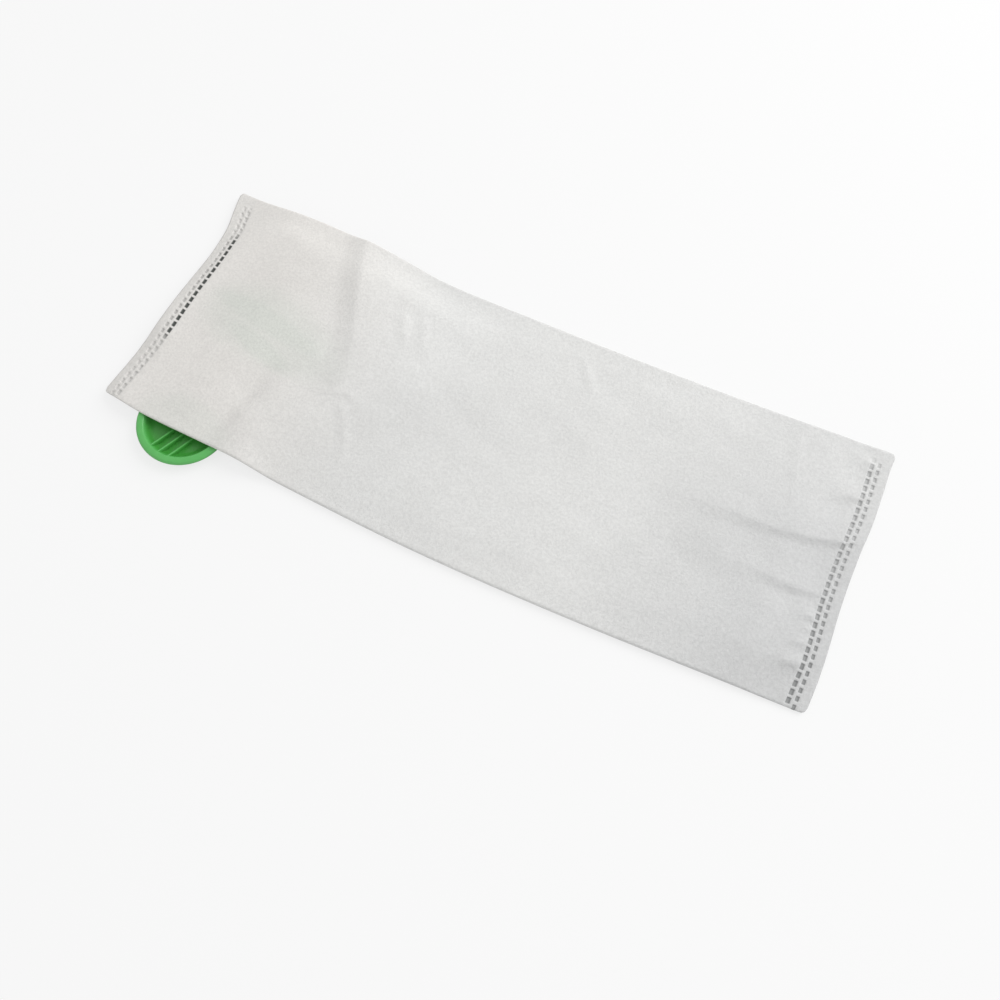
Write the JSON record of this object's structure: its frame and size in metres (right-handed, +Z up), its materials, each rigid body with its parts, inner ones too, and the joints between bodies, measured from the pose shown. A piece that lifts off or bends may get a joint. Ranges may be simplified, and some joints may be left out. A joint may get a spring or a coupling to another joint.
{
  "type": "vacuum dust bag",
  "caption": "Flat filter fleece dust bag, folded lengthwise and welded at both ends with rows of weld points, on a green moulded collar with a round mouth and a ribbed thumb grip.",
  "frame": {"origin": "on the table, under the middle of the whole outline", "axes": "+X along the bag away from the collar, +Y across the bag away from the thumb grip, +Z up"},
  "size_m": [0.359, 0.1536, 0.0138],
  "materials": {
    "fleece": "matt nonwoven fleece",
    "collar_plastic": "satin moulded",
    "seal_rubber": "matt soft rubber"
  },
  "bodies": {
    "root": {"fleece_bag": "fleece", "collar": "collar_plastic", "mouth_seal": "seal_rubber"}
  },
  "joints": []
}
